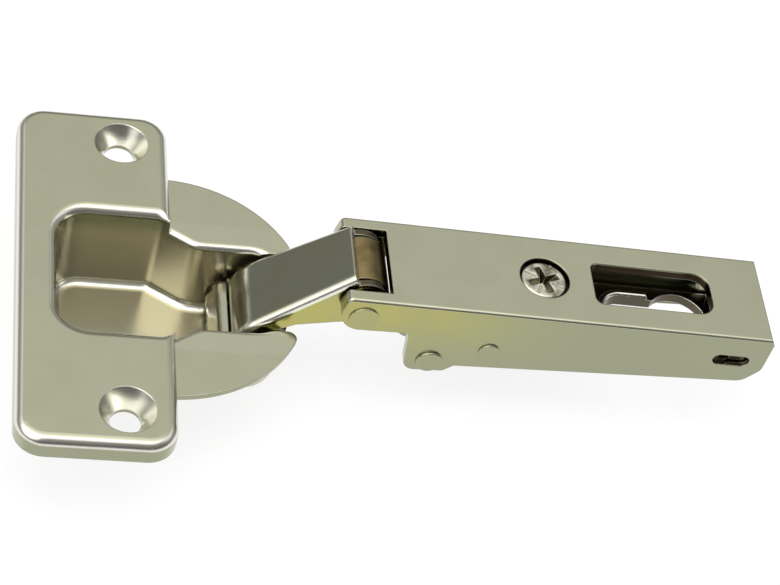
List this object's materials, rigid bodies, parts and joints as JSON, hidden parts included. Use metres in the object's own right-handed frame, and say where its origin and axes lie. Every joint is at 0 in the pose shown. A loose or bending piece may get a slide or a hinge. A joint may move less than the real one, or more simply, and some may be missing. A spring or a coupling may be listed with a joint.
{
  "type": "concealed cup hinge",
  "caption": "Concealed cabinet door hinge: pressed cup with a flange, folding links and a channel arm with an adjusting screw and a keyhole adapter.",
  "frame": {"origin": "centre of the cup's bore, on the door face", "axes": "+X from the cup along the open arm, +Y along the pivots, +Z out of the cup's mouth"},
  "size_m": [0.1058, 0.06, 0.0227],
  "materials": {
    "nickel_sheet": "satin nickel plated pressed sheet",
    "turned_steel": "nickel plated turned steel",
    "spring_wire": "drawn spring wire"
  },
  "bodies": {
    "cup": {"cup": "nickel_sheet", "cup_pin_outer": "turned_steel", "cup_pin_inner": "turned_steel", "cup_sleeve": "turned_steel", "cup_washer_left": "turned_steel", "cup_washer_right": "turned_steel"},
    "outer_link": {"outer_link": "nickel_sheet"},
    "inner_link": {"inner_link": "nickel_sheet"},
    "arm": {"hinge_arm": "nickel_sheet", "arm_pin_outer": "turned_steel", "arm_pin_inner": "turned_steel", "spring_pin": "turned_steel", "arm_sleeve": "turned_steel", "arm_washer_left": "turned_steel", "arm_washer_right": "turned_steel", "closing_spring": "spring_wire"},
    "adapter": {"adapter_plate": "nickel_sheet"},
    "screw": {"adjusting_screw": "turned_steel", "screw_ring": "turned_steel"}
  },
  "joints": [
    {"name": "link_in_cup", "type": "hinge", "parent": "cup", "child": "outer_link", "pos_m": [0.00924, 0, -0.0084], "axis": [0, -1, 0], "range_deg": [0, 106.8]},
    {"name": "arm_on_link", "type": "hinge", "parent": "outer_link", "child": "arm", "pos_m": [0.02607, 0, 0.00572], "axis": [0, -1, 0], "range_deg": [-15.11, 0]},
    {"name": "lever_in_cup", "type": "hinge", "parent": "cup", "child": "inner_link", "pos_m": [0.01242, 0, -0.00574], "axis": [0, -1, 0], "range_deg": [0, 116.09]},
    {"name": "screw_turn", "type": "hinge", "parent": "arm", "child": "screw", "pos_m": [0.05202, 0, 0.00797], "axis": [-0.0366, 0, -0.9993], "range_deg": [-450, 450]},
    {"name": "adapter_tilt", "type": "hinge", "parent": "arm", "child": "adapter", "pos_m": [0.08163, 0, 0.00228], "axis": [0, 1, 0], "range_deg": [-2.4, 2.4]}
  ],
  "couplings": [
    {"joint": "arm_on_link", "follows": "link_in_cup", "ratio": -0.14143},
    {"joint": "lever_in_cup", "follows": "link_in_cup", "ratio": 1.0868},
    {"joint": "screw_turn", "follows": "adapter_tilt", "ratio": 187.24}
  ]
}
